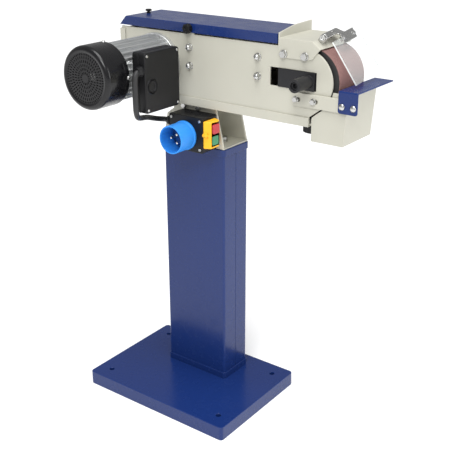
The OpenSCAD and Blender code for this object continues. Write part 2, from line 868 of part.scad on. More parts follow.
module cooling_fan() {
    blades = 8;
    y = fan_y - 30;
    color(black) difference() {
        union() {
            y_rod(drive_x, y, drive_z, 34, 22);
            y_rod(drive_x, y + 19, drive_z, 108, 3);
            for (i = [0 : blades - 1]) translate([drive_x, y, drive_z]) rotate([0, i * 360 / blades, 0])
                translate([14, 0, -1.2]) cube([40, 20, 2.4]);
        }
        y_rod(drive_x, y - 1, drive_z, shaft_d, 24);
    }
}

module drive_wheel() {
    rim = 12;
    web = 14;
    color([0.55, 0.56, 0.58]) difference() {
        y_rod(drive_x, belt_y, drive_z, drive_d, belt_w);
        difference() {
            translate([drive_x, belt_y - 1, drive_z]) rotate([-90, 0, 0]) difference() {
                cylinder(d = drive_d - 2 * rim, h = belt_w + 2);
                cylinder(d = shaft_d + 22, h = belt_w + 2);
            }
            y_rod(drive_x, head_y - web / 2, drive_z, drive_d, web);
        }
        y_rod(drive_x, belt_y - 1, drive_z, shaft_d, belt_w + 2);
    }
}

// ---- electrics ----

module terminal_box() {
    l = terminal_x - terminal_lid_t - terminal_in;
    color(black) difference() {
        translate([terminal_in, terminal_y, terminal_z]) rotate([90, 0, 90]) linear_extrude(l)
            round_rect(terminal_l, terminal_h, 7);
        translate([terminal_in + 4, terminal_y + 3, terminal_z + 3])
            cube([l, terminal_l - 6, terminal_h - 6]);
    }
}

module terminal_lid() {
    x = terminal_x - terminal_lid_t;
    color(black) {
        difference() {
            translate([x, terminal_y, terminal_z]) rotate([90, 0, 90])
                linear_extrude(terminal_lid_t) round_rect(terminal_l, terminal_h, 7);
            translate([x - 1, terminal_y + 3, terminal_z + 3])
                cube([terminal_lid_t - 2, terminal_l - 6, terminal_h - 6]);
        }
        // raised ring of a spare cable entry
        difference() {
            x_rod(terminal_x - 1, terminal_y + 20, terminal_z + 56, 30, 2.5);
            x_rod(terminal_x, terminal_y + 20, terminal_z + 56, 24, 2);
        }
    }
}

// Glands where the motor cable leaves the terminal box and enters the switch box
module cable_glands() {
    first = cable_route[0];
    last = cable_route[len(cable_route) - 1];
    color(black) {
        difference() {
            union() {
                translate([first[0], terminal_y, first[2]]) rotate([90, 0, 0])
                    cylinder(d = 21 / cos(30), h = 5, $fn = 6);
                translate([first[0], terminal_y - 5, first[2]]) rotate([90, 0, 0])
                    cylinder(d1 = 20, d2 = 15, h = 8);
            }
            y_rod(first[0], terminal_y - 14, first[2], cable_d, 15);
        }
        difference() {
            union() {
                translate([switch_x, last[1], last[2]]) rotate([0, -90, 0])
                    cylinder(d = 21 / cos(30), h = 5, $fn = 6);
                translate([switch_x - 5, last[1], last[2]]) rotate([0, -90, 0])
                    cylinder(d1 = 20, d2 = 15, h = 8);
            }
            x_rod(switch_x - 14, last[1], last[2], cable_d, 15);
        }
    }
}

function unit(v) = v / norm(v);
// Direction of the route at point i, from its neighbours
function heading(r, i) = unit(r[min(i + 1, len(r) - 1)] - r[max(i - 1, 0)]);
// A sideways direction for each ring that never turns about the route
function side_at(t) = unit(cross(t, [0.5, -0.5, -0.7]));

// A round tube swept along a route
module swept_tube(r, d, sides) {
    n = len(r);
    points = [for (i = [0 : n - 1]) let (t = heading(r, i), u = side_at(t), w = cross(t, u))
        for (k = [0 : sides - 1]) r[i] + d / 2 * (cos(k * 360 / sides) * u + sin(k * 360 / sides) * w)];
    walls = [for (i = [0 : n - 2], k = [0 : sides - 1]) let (m = (k + 1) % sides)
        [i * sides + k, (i + 1) * sides + k, (i + 1) * sides + m, i * sides + m]];
    ends = [[for (k = [0 : sides - 1]) k], [for (k = [sides - 1 : -1 : 0]) (n - 1) * sides + k]];
    polyhedron(points, concat(walls, ends), convexity = 6);
}

module motor_cable() {
    color(black) swept_tube(cable_route, cable_d, 10);
}

module switch_box() {
    t = 3;
    color(black) difference() {
        translate([switch_x, upright_y, switch_z]) rotate([90, 0, 0])
            linear_extrude(switch_box_d) round_rect(switch_box_l, switch_box_h, 5);
        translate([switch_x + t, switch_y + t, switch_z + t])
            cube([switch_box_l - 2 * t, switch_box_d - 2 * t, switch_box_h - 2 * t]);
        y_rod(inlet_x, switch_y - 1, inlet_z, inlet_d - 16, t + 2);
        translate([button_x - t - 1, plate_cy - 17.5, plate_cz - 25.5]) cube([t + 2, 35, 51]);
        x_rod(switch_x - 1, cable_route[len(cable_route) - 1][1], cable_route[len(cable_route) - 1][2],
            cable_d, t + 2);
    }
}

module box_screws() {
    edge = 8;
    color(steel) for (x = [switch_x + edge, switch_x + switch_box_l - edge],
        z = [switch_z + edge, switch_z + switch_box_h - edge]) pan_screw(x, switch_y, z, 7);
    color(steel) for (y = [terminal_y + 7, terminal_y + terminal_l - 7],
        z = [terminal_z + 7, terminal_z + terminal_h - 7])
        translate([terminal_x, y, z]) rotate([0, 90, 0]) cylinder(d1 = 6, d2 = 5, h = 1.6);
}

// Three-pole inlet: shroud, insulating core and pins
module inlet_shroud() {
    wall = 3;
    color(bright_blue) difference() {
        union() {
            y_rod(inlet_x, switch_y - inlet_l, inlet_z, inlet_d - 1, inlet_l);
            y_rod(inlet_x, switch_y - 6, inlet_z, inlet_d + 2, 6);
        }
        y_rod(inlet_x, switch_y - inlet_l - 1, inlet_z, inlet_d - 1 - 2 * wall, inlet_l - 5);
        y_rod(inlet_x, switch_y - 10, inlet_z, inlet_d - 18, 11);
    }
}

module inlet_core() {
    color([0.10, 0.32, 0.70]) difference() {
        union() {
            y_rod(inlet_x, switch_y - core_l, inlet_z, core_d, core_l);
            y_rod(inlet_x, switch_y - 6, inlet_z, inlet_d - 18.2, 6);
        }
        inlet_pin_places() cylinder(d = pin_d, h = core_l);
    }
}

module inlet_pin_places() {
    for (a = [60, 180, 300]) translate([inlet_x + 11 * cos(a), switch_y - core_l - 0.01,
        inlet_z + 11 * sin(a)]) rotate([-90, 0, 0]) children();
}

module inlet_pins() {
    proud = inlet_l - core_l - 14;
    color([0.85, 0.80, 0.62]) inlet_pin_places()
        translate([0, 0, -proud]) cylinder(d = pin_d, h = proud + core_l - 2);
}

// Yellow housing of the start and stop buttons, on the switch box's +X wall
module switch_housing() {
    x = button_x;
    w = switch_w / 2;
    color(yellow) difference() {
        union() {
            translate([0, 0, plate_cz - switch_hh / 2]) linear_extrude(switch_hh)
                polygon([[x, plate_cy - w], [x + 4, plate_cy - w], [x + switch_t, plate_cy - w + 6.5],
                    [x + switch_t, plate_cy + w - 6.5], [x + 4, plate_cy + w], [x, plate_cy + w]]);
            for (s = [-1, 1]) x_rod(x, plate_cy + s * w, plate_cz, 9, switch_t - 6);
            translate([x - 26, plate_cy - 17, plate_cz - 25]) cube([26, 34, 50]);
        }
        button_well(stop_z);
        button_well(start_z);
    }
}

module button_well(z) {
    translate([button_x + switch_t - well_depth, plate_cy - button_w / 2 - slide_gap,
        z - button_h / 2 - slide_gap])
        cube([well_depth + 1, button_w + 2 * slide_gap, button_h + 2 * slide_gap]);
}

module button(z, proud) {
    foot = button_x + switch_t - well_depth + button_travel + 0.5;
    translate([foot, plate_cy - button_w / 2, z - button_h / 2]) rotate([90, 0, 90])
        linear_extrude(button_x + switch_t + proud - foot) round_rect(button_w, button_h, 3);
}

module start_button() {
    color([0.12, 0.52, 0.25]) button(start_z, 1);
}

module stop_button() {
    color([0.78, 0.10, 0.12]) button(stop_z, 4);
}

// ---- contact wheel ----

// Block that slides in the side plate's slot, with the boss that clamps the axle
module wheel_carrier() {
    h = slot_h - 2 * slide_gap;
    l = slot_l - slack_travel - 8;
    x = contact_x + 15 - l;
    color(black) difference() {
        union() {
            translate([x, plate_y - 3, contact_z - h / 2]) cube([l, plate_t + 3, h]);
            translate([x - 2, plate_in + slide_gap, contact_z - h / 2 - 6])
                cube([l + 4, carrier_t - slide_gap, h + 12]);
            translate([x, plate_in, contact_z - h / 2]) cube([l, slide_gap + 1, h]);
            y_rod(contact_x, boss_end, contact_z, boss_d, plate_y - boss_end);
        }
        y_rod(contact_x, plate_y - 6, contact_z, axle_d, 40);
        y_rod(contact_x, boss_end - 1, contact_z, 17, 30);
    }
}

module wheel_axle() {
    head = 4;
    color(steel) difference() {
        union() {
            y_rod(contact_x, plate_y - 6, contact_z, axle_d, belt_y + belt_w + 1 - plate_y + 6);
            y_rod(contact_x, belt_y + belt_w + 1, contact_z, axle_d + 8, head);
        }
        y_rod(contact_x, belt_y + belt_w + 1 + head - 8, contact_z, 8, 9);
    }
}

// Socket head screw in the boss's end
module axle_screw() {
    depth = 6;
    color([0.16, 0.16, 0.17]) difference() {
        y_rod(contact_x, boss_end + 4, contact_z, 17, 25);
        translate([contact_x, boss_end + 3, contact_z]) rotate([-90, 0, 0])
            cylinder(d = 10 / cos(30), h = depth + 1, $fn = 6);
    }
}

module bearing_seats(d, l) {
    y_rod(contact_x, belt_y + 4, contact_z, d, l);
    y_rod(contact_x, belt_y + belt_w - 4 - bearing_w, contact_z, d, l);
}

module wheel_hub() {
    r = contact_r - tyre_t;
    color([0.62, 0.63, 0.65]) difference() {
        y_rod(contact_x, belt_y + 1, contact_z, 2 * r, belt_w - 2);
        y_rod(contact_x, belt_y, contact_z, bearing_d, 4 + bearing_w);
        y_rod(contact_x, belt_y + belt_w - 4 - bearing_w, contact_z, bearing_d, 5 + bearing_w);
        y_rod(contact_x, belt_y, contact_z, axle_d + 4, belt_w);
    }
}

module wheel_bearings() {
    color(steel) difference() {
        bearing_seats(bearing_d, bearing_w);
        y_rod(contact_x, belt_y, contact_z, axle_d + 2 * running, belt_w);
    }
}

module wheel_tyre() {
    color([0.07, 0.07, 0.07]) difference() {
        y_rod(contact_x, belt_y, contact_z, contact_d, belt_w);
        y_rod(contact_x, belt_y - 1, contact_z, contact_d - 2 * tyre_t, belt_w + 2);
    }
}

// ---- visor ----

// Frame on the hood's sloped face: x runs down the slope, y along the hinge, z out of the face
module at_visor_pivot() {
    translate([pivot_x, pivot_y, pivot_z]) rotate([0, hood_fall, 0]) rotate([0, 0, visor_cant]) children();
}

module pivot_rod(y, d, l) {
    translate([0, y, 0]) rotate([-90, 0, 0]) cylinder(d = d, h = l);
}

// Block on the hood that grips the hinge bolt
module visor_clamp() {
    w = 30;
    color(steel) at_visor_pivot() {
        translate([-7, 2, -pivot_rise]) cube([14, w, pivot_rise]);
        pivot_rod(2, 14, w);
        pivot_rod(1, 7, barrel_l);
        difference() {
            pivot_rod(-5, 12, 7);
            translate([0, -6, 0]) rotate([-90, 0, 0]) cylinder(d = 6 / cos(30), h = 4, $fn = 6);
        }
    }
}

// Barrel and leaf that hold the visor
module visor_arm() {
    y = 33;
    l = 28;
    color(steel) at_visor_pivot() difference() {
        union() {
            pivot_rod(y, 2 * barrel_r, l);
            along_y(y + 1, l - 4) polygon([[1, 2], [16.4, 11.4], [17.3, 13.7], [-2.5, 6]]);
            at_visor_plate() translate([-12, 38, 0]) cube([21, 60, 2.5]);
        }
        pivot_rod(y - 1, 7 + 2 * running, l + 2);
        at_visor_plate() for (y = visor_screw_y) translate([-1.5, y, -1]) cylinder(d = 5, h = 5);
    }
}

// Frame on the visor's outer face, from its top edge at the near side
module at_visor_plate() {
    translate([25.7, -4.2, 7.8]) rotate([0, visor_tilt, 0]) children();
}

module visor() {
    color([0.85, 0.90, 0.92, 0.4]) at_visor_pivot() at_visor_plate() difference() {
        translate([-4, 0, -visor_t]) cube([visor_l, visor_w, visor_t]);
        // each hole's seam is turned off the plate's edges
        for (y = visor_screw_y) translate([-1.5, y, -visor_t - 1]) rotate([0, 0, 45])
            cylinder(d = 5, h = visor_t + 2);
    }
}

module visor_screws() {
    color(steel) at_visor_pivot() at_visor_plate() for (y = visor_screw_y) translate([-1.5, y, 0]) {
        translate([0, 0, 2.5]) cylinder(d1 = 9, d2 = 7, h = 3);
        translate([0, 0, -visor_t - 4]) cylinder(d = 5, h = visor_t + 7);
        translate([0, 0, -visor_t - 4]) cylinder(d = 8 / cos(30), h = 4, $fn = 6);
    }
}

// ---- work rest ----

module rest_arm() {
    slot = rest_in + rest_out;
    end = rest_x + rest_depth - 2;
    color(grey) along_y(arm_y, arm_t) difference() {
        translate([arm_x, arm_z]) square([end - arm_x, arm_h]);
        for (x = arm_bolt_x) translate([x - rest_out, arm_bolt_z]) slot_shape(slot, 4.2);
        for (x = tab_bolt_x) translate([x, arm_bolt_z]) circle(d = 7);
    }
}

module arm_bolts() {
    color(steel) for (x = arm_bolt_x) {
        y = arm_y - slide_gap;
        bolt_head(x, y, arm_bolt_z, 10, 13);
        y_rod(x, y, arm_bolt_z, 8, plate_in + 3 - y);
    }
}

// Blue angle: a tab bolted to the arm and a table across the belt
module work_rest() {
    tab_r = 5;
    y = arm_y - rest_t;
    w = rest_depth;
    color(blue) difference() {
        union() {
            along_y(y, rest_t) union() {
                translate([rest_x, arm_z + tab_r]) square([w, rest_z - rest_t - arm_z - tab_r]);
                translate([rest_x + tab_r, arm_z]) square([w - 2 * tab_r, 2 * tab_r]);
                for (x = [tab_r, w - tab_r]) translate([rest_x + x, arm_z + tab_r]) circle(tab_r);
            }
            translate([rest_x, y + rest_t, rest_z - rest_t]) cube([w, rest_l - rest_t, rest_t]);
            intersection() {
                x_rod(rest_x, y + rest_t, rest_z - rest_t, 2 * rest_t, w);
                translate([rest_x, y, rest_z - rest_t]) cube([w, rest_t, rest_t]);
            }
        }
        for (x = tab_bolt_x) y_rod(x, y - 1, arm_bolt_z, 7, rest_t + 2);
    }
}

module rest_bolts() {
    color(steel) for (x = tab_bolt_x) {
        y = arm_y - rest_t;
        translate([x, y, arm_bolt_z]) rotate([90, 0, 0]) cylinder(d1 = 12, d2 = 8, h = 3.6);
        y_rod(x, y, arm_bolt_z, 7, rest_t + arm_t);
    }
}

// ---- dust ----

// Open box under the contact wheel that catches sparks and grit
module dust_box() {
    front = box_x + box_l;
    chamfer = [[box_x, lip_top + 1], [box_x + 24, lip_top + 20]];
    color(grey) difference() {
        along_y(plate_y, head_w) box_shape(front, chamfer, 0);
        along_y(plate_y + box_t, head_w - 2 * box_t) box_shape(front, chamfer, box_t);
        y_rod(nose_x, plate_y - 1, nose_z, 2 * (nose_r + 3), head_w + 2);
        y_rod(contact_x, plate_y + box_t, contact_z, 2 * (contact_r + skin_gap + belt_t + belt_room),
            head_w - 2 * box_t);
    }
}

module box_shape(front, chamfer, t) {
    polygon([[box_x + t, box_floor + t], [front - t, box_floor + t],
        [front + box_lean - t, box_top + t], [chamfer[1][0] + 15, box_top + t],
        [chamfer[1][0] + t, chamfer[1][1] + t], [chamfer[0][0] + t, chamfer[0][1]]]);
}

// Two angles that carry the dust box on the bottom channel
module box_hanger() {
    l = box_x - belly_front + 16;
    color(grey) for (y = [plate_y + 4, far_y - 31]) {
        translate([box_x - l, y, head_floor + sheet_t]) cube([l, 27, sheet_t]);
        translate([box_x - sheet_t, y, head_floor + sheet_t]) cube([sheet_t, 27, lip_h - 6]);
    }
}

module dust_port() {
    l = 25;
    color(black) difference() {
        union() {
            z_rod(port_x, head_y, head_floor - l, port_d, l);
            z_rod(port_x, head_y, head_floor, port_d - 6, sheet_t);
        }
        z_rod(port_x, head_y, head_floor - l - 1, port_d - 10, l + sheet_t + 2);
    }
}

base_plate();
column_shell(-1);  // column_near_shell
column_shell(1);  // column_far_shell
column_collars();
head_bracket();
head_foot();
bracket_bolts();
side_plate();
belly_channel();
rear_channel();
platen();
platen_brackets();
frame_bolts();
door_posts();
hood();
hood_bolts();
hinges();
abrasive_belt();
motor_housing();
motor_flange();
fan_cover();
cover_screws();
motor_shaft();
cooling_fan();
drive_wheel();
terminal_box();
terminal_lid();
cable_glands();
motor_cable();
switch_box();
box_screws();
inlet_shroud();
inlet_core();
inlet_pins();
switch_housing();
start_button();
stop_button();
wheel_carrier();
wheel_axle();
axle_screw();
wheel_hub();
wheel_bearings();
wheel_tyre();
lid();
lid_knob();
rear_knob();
visor_clamp();
visor_arm();
visor();
visor_screws();
rest_arm();
work_rest();
rest_bolts();
arm_bolts();
dust_box();
box_hanger();
dust_port();
belt_door();
door_knob(post_rear_x);  // door_knob_rear
door_knob(post_front_x);  // door_knob_front
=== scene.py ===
import json
import math

import bmesh
import bpy
from mathutils import Matrix, Vector

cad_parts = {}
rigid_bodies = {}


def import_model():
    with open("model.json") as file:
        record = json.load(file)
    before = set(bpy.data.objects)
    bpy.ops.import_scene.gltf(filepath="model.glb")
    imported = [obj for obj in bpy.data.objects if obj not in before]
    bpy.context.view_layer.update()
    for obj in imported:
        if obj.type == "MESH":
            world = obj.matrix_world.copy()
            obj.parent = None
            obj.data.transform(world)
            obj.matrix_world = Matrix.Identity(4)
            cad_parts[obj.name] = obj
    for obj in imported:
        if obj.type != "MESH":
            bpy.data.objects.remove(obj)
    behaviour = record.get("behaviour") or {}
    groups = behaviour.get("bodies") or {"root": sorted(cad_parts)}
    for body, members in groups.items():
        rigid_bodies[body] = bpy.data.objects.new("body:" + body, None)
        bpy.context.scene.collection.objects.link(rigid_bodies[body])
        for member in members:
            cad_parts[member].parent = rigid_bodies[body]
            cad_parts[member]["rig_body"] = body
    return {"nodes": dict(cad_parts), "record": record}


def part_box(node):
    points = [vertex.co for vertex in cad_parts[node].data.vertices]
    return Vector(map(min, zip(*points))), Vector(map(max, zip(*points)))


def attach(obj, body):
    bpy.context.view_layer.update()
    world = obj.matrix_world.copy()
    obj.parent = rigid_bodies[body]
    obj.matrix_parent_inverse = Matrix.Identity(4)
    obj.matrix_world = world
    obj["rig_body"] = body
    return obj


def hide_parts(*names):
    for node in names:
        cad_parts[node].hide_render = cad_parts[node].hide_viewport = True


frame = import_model()
nodes = frame["nodes"]
record = frame["record"]
slot_of = {part["node"]: part["material_slot"] for part in record["subparts"]}
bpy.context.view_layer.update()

MM = 0.001
UP = (0, 0, 1)
MOTOR_SIDE = (0, -1, 0)
QUARTER = [math.radians(turn) for turn in range(0, 91, 15)]  # steps of a quarter turn


# ---- objects ----

def add(name, data):
    """A new object in the scene."""
    made = bpy.data.objects.new(name, data)
    bpy.context.scene.collection.objects.link(made)
    return made


def new_object(name, mesh, smooth=False):
    """An object from a finished bmesh."""
    data = bpy.data.meshes.new(name)
    mesh.to_mesh(data)
    mesh.free()
    for face in data.polygons:
        face.use_smooth = smooth
    return add(name, data)


# ---- camera, floor and light ----

def set_camera():
    """Looks down at the machine from its motor side, towards the contact wheel's end."""
    turn, tilt, roll = math.radians(36.73), math.radians(22.22), math.radians(-0.11)
    spot = (1.1723, -1.4282, 1.1884)
    lens = bpy.data.cameras.new("camera")
    lens.sensor_width = 36
    lens.lens = 67.7
    camera = add("camera", lens)
    camera.matrix_world = (Matrix.Translation(spot) @ Matrix.Rotation(turn, 4, "Z")
                           @ Matrix.Rotation(math.pi / 2 - tilt, 4, "X")
                           @ Matrix.Rotation(roll, 4, "Z"))
    bpy.context.scene.camera = camera


def soft_box(name, spot, aim, size, watts):
    """One rectangular studio light."""
    light = bpy.data.lights.new(name, "AREA")
    light.shape = "RECTANGLE"
    light.size, light.size_y = size
    light.energy = watts
    lamp = add(name, light)
    lamp.location = spot
    lamp.rotation_euler = (Vector(aim) - Vector(spot)).to_track_quat("-Z", "Y").to_euler()


def set_floor():
    """White paper under the machine, with a faint glow that keeps it from turning grey."""
    mesh = bmesh.new()
    bmesh.ops.create_grid(mesh, x_segments=1, y_segments=1, size=12)
    floor = new_object("studio_floor", mesh)
    paper = Finish("studio_paper", (0.93, 0.93, 0.93), 0.9)
    paper.feed("Base Color", paper.mix(paper.noise(0.7), (0.92, 0.92, 0.92), (0.94, 0.94, 0.94)))
    paper.feed("Emission Color", (1, 1, 1, 1))
    paper.feed("Emission Strength", 0.14)
    floor.data.materials.append(paper.material)


def set_world(lighting, seen):
    """White all round: one strength lights the machine, the other is what the camera sees."""
    world = bpy.data.worlds.new("studio")
    world.use_nodes = True
    tree = world.node_tree
    walls = tree.nodes["Background"]
    backdrop = tree.nodes.new("ShaderNodeBackground")
    for background, strength in ((walls, lighting), (backdrop, seen)):
        background.inputs["Color"].default_value = (1, 1, 1, 1)
        background.inputs["Strength"].default_value = strength
    path = tree.nodes.new("ShaderNodeLightPath")
    choice = tree.nodes.new("ShaderNodeMixShader")
    tree.links.new(path.outputs["Is Camera Ray"], choice.inputs[0])
    tree.links.new(walls.outputs[0], choice.inputs[1])
    tree.links.new(backdrop.outputs[0], choice.inputs[2])
    tree.links.new(choice.outputs[0], tree.nodes["World Output"].inputs[0])
    bpy.context.scene.world = world


def set_studio():
    """A white studio: two soft boxes, and broad light from above for the soft floor shadow."""
    set_floor()
    soft_box("key_light", spot=(1.1, -2.2, 2.7), aim=(0, 0, 0.6), size=(1.3, 1.0), watts=44)
    soft_box("fill_light", spot=(2.6, 0.4, 1.5), aim=(0, 0, 0.7), size=(1.2, 1.6), watts=20)
    sky = bpy.data.lights.new("top_light", "SUN")
    sky.energy, sky.angle = 2.3, math.radians(40)
    add("top_light", sky).rotation_euler = (math.radians(14), math.radians(8), 0)
    set_world(lighting=0.42, seen=1.0)
    bpy.context.scene.view_settings.view_transform = "Standard"


# ---- finishes ----

class Socket:
    """One output of a shader node. Sums, differences, products and powers add Math nodes."""

    def __init__(self, finish, output):
        self.finish, self.output = finish, output

    def maths(self, operation, first, second):
        """A Math node on two sockets or numbers."""
        return self.finish.node("ShaderNodeMath", {"operation": operation}, {0: first, 1: second})

    def __add__(self, other):
        return self.maths("ADD", self, other)

    def __sub__(self, other):
        return self.maths("SUBTRACT", self, other)

    def __rsub__(self, other):
        return self.maths("SUBTRACT", other, self)

    def __mul__(self, other):
        return self.maths("MULTIPLY", self, other)

    def __pow__(self, other):
        return self.maths("POWER", self, other)

    __radd__ = __add__
    __rmul__ = __mul__


class Finish:
    """A material whose texture lies on the piece's own coordinates, in metres."""

    NOISE_SPAN = (0.3, 0.7)  # where nearly all of a noise texture's values fall
    MIX_FACTOR, MIX_LOW, MIX_HIGH, MIX_OUT = 0, 6, 7, 2  # the Mix node's sockets for colours
    BEVEL_SAMPLES = 4

    def __init__(self, name, colour, roughness, metallic=0.0):
        self.material = bpy.data.materials.new(name)
        self.material.use_nodes = True
        self.tree = self.material.node_tree
        self.shader = self.tree.nodes["Principled BSDF"]
        self.place = self.node("ShaderNodeTexCoord", out="Object")
        self.feed("Base Color", (*colour, 1))
        self.feed("Roughness", roughness)
        self.feed("Metallic", metallic)

    def node(self, kind, settings=None, inputs=None, out=0):
        """A shader node with its settings made, then its sockets filled or linked."""
        made = self.tree.nodes.new(kind)
        for key, value in (settings or {}).items():
            setattr(made, key, value)
        for key, value in (inputs or {}).items():
            self.join(made.inputs[key], value)
        return Socket(self, made.outputs[out])

    def join(self, socket, value):
        """Links an output to a socket, or puts a plain value on it."""
        if isinstance(value, Socket):
            self.tree.links.new(value.output, socket)
        elif isinstance(value, tuple) and len(value) == 3 and len(socket.default_value) == 4:
            socket.default_value = (*value, 1)
        else:
            socket.default_value = value

    def feed(self, name, value):
        """Fills one socket of the surface shader."""
        self.join(self.shader.inputs[name], value)

    def noise(self, scale, detail=2.0, place=None):
        """Soft noise, at scale cells to the metre."""
        return self.node("ShaderNodeTexNoise", {"noise_dimensions": "3D"},
                         {"Vector": place or self.place, "Scale": scale, "Detail": detail})

    def stretched(self, scale):
        """The piece's coordinates, stretched, for a grain that runs one way."""
        return self.node("ShaderNodeMapping", None, {"Vector": self.place, "Scale": scale})

    def mix(self, factor, low, high):
        """A colour between two."""
        return self.node("ShaderNodeMix", {"data_type": "RGBA"},
                         {self.MIX_FACTOR: factor, self.MIX_LOW: low, self.MIX_HIGH: high},
                         out=self.MIX_OUT)

    def spread(self, factor, low, high):
        """A number that runs from low to high as factor runs over a noise's span."""
        return self.node("ShaderNodeMapRange", None,
                         dict(enumerate((factor, *self.NOISE_SPAN, low, high))))

    def relief(self, height, depth, strength, edge=None):
        """Bump of that depth, in metres, over edges that are rounded by the radius edge."""
        inputs = {"Height": height, "Distance": depth, "Strength": strength}
        if edge:
            inputs["Normal"] = self.node("ShaderNodeBevel", {"samples": self.BEVEL_SAMPLES},
                                         {"Radius": edge})
        self.feed("Normal", self.node("ShaderNodeBump", None, inputs))


def shade(colour, amount):
    """The colour, darker below 1 and lighter above it."""
    return tuple(amount * part for part in colour)


def powder_coat(name, colour, roughness, grain, gloss=0.0):
    """Powder coat: fine orange peel and broad unevenness, under a clear gloss."""
    paint = Finish(name, colour, roughness)
    paint.feed("Specular IOR Level", 0.28)
    paint.feed("Coat Weight", gloss)
    paint.feed("Coat Roughness", 0.14)
    broad = paint.noise(9, 3)
    paint.feed("Base Color", paint.mix(broad, shade(colour, 0.95), shade(colour, 1.05)))
    uneven = paint.noise(45, 3)
    paint.feed("Roughness", paint.spread(uneven, roughness - 0.05, roughness + 0.07))
    paint.relief(paint.noise(grain, 2), depth=0.03 * MM, strength=0.25)
    return paint.material


def zinc_steel(name, colour, roughness):
    """Bright zinc plate: a faint cloudy spangle and fine scratches along X."""
    steel = Finish(name, colour, roughness, metallic=1.0)
    cloud = steel.noise(160, 3)
    scratch = steel.noise(1, 3, steel.stretched((300, 4000, 4000)))
    steel.feed("Base Color", steel.mix(cloud, shade(colour, 0.9), shade(colour, 1.1)))
    steel.feed("Roughness", steel.spread(cloud * 0.6 + scratch * 0.4,
                                         roughness - 0.08, roughness + 0.12))
    steel.relief(scratch, depth=0.006 * MM, strength=0.4)
    return steel.material


def moulded_plastic(name, colour, roughness):
    """Moulded plastic with a fine spark-eroded grain and softened edges."""
    plastic = Finish(name, colour, roughness)
    plastic.feed("Specular IOR Level", 0.26)
    fine = plastic.noise(1600, 2)
    broad = plastic.noise(18, 3)
    plastic.feed("Base Color", plastic.mix(broad, shade(colour, 0.9), shade(colour, 1.12)))
    plastic.feed("Roughness", plastic.spread(broad * 0.5 + fine * 0.5,
                                             roughness - 0.06, roughness + 0.08))
    plastic.relief(fine, depth=0.06 * MM, strength=0.5, edge=0.6 * MM)
    return plastic.material


def cast_alloy(name, colour, roughness):
    """Die-cast aluminium under silver paint."""
    alloy = Finish(name, colour, roughness, metallic=0.8)
    pits = alloy.noise(420, 4)
    alloy.feed("Base Color", alloy.mix(alloy.noise(25, 4), shade(colour, 0.8), colour))
    alloy.feed("Roughness", alloy.spread(pits, roughness - 0.08, roughness + 0.1))
    alloy.relief(pits, depth=0.2 * MM, strength=0.6, edge=0.5 * MM)
    return alloy.material


def abrasive_cloth():
    """Coated abrasive: packed pale grains on brown, with worn streaks along its run."""
    worn, fresh, grain_tips = (0.115, 0.042, 0.040), (0.185, 0.075, 0.068), (0.36, 0.22, 0.20)
    cloth = Finish("abrasive_cloth", (0.16, 0.06, 0.055), 0.85)
    grains = cloth.node("ShaderNodeTexVoronoi", None, {"Vector": cloth.place, "Scale": 1500})
    streak = cloth.noise(1, 3, cloth.stretched((6, 260, 6)))
    body = cloth.mix(streak, worn, fresh)
    cloth.feed("Base Color", cloth.mix(grains ** 2 * 1.4, body, grain_tips))
    cloth.feed("Roughness", cloth.spread(cloth.noise(500, 2), 0.72, 0.95))
    cloth.relief(grains, depth=0.3 * MM, strength=0.8)
    return cloth.material


def ground_rubber(name, colour, roughness):
    """Black rubber with a ground, slightly greyed surface and softened edges."""
    rubber = Finish(name, colour, roughness)
    grain = rubber.noise(700, 3)
    broad = rubber.noise(30, 3)
    rubber.feed("Base Color", rubber.mix(broad, shade(colour, 0.8), shade(colour, 1.4)))
    rubber.feed("Roughness", rubber.spread(grain, roughness - 0.08, roughness + 0.1))
    rubber.relief(grain, depth=0.1 * MM, strength=0.6, edge=0.8 * MM)
    return rubber.material


def clear_sheet(name, least_opacity, most_opacity):
    """Clear polycarbonate with faint scuffs, whose whitish opacity lies between the two given:
    painted light, which stands for the studio's reflection on the faces and a highlight on the
    edges.
    """
    sheet = Finish(name, (0.90, 0.95, 0.94), 0.06)
    scuff = sheet.noise(1, 4, sheet.stretched((120, 900, 120)))
    sheet.feed("Roughness", sheet.spread(scuff, 0.03, 0.12))
    # Painted light: the whitish opacity stands for the white studio's reflection, and for a
    # highlight on the edges.
    sheet.feed("Alpha", sheet.spread(sheet.noise(7, 3), least_opacity, most_opacity))
    sheet.feed("IOR", 1.58)
    return sheet.material


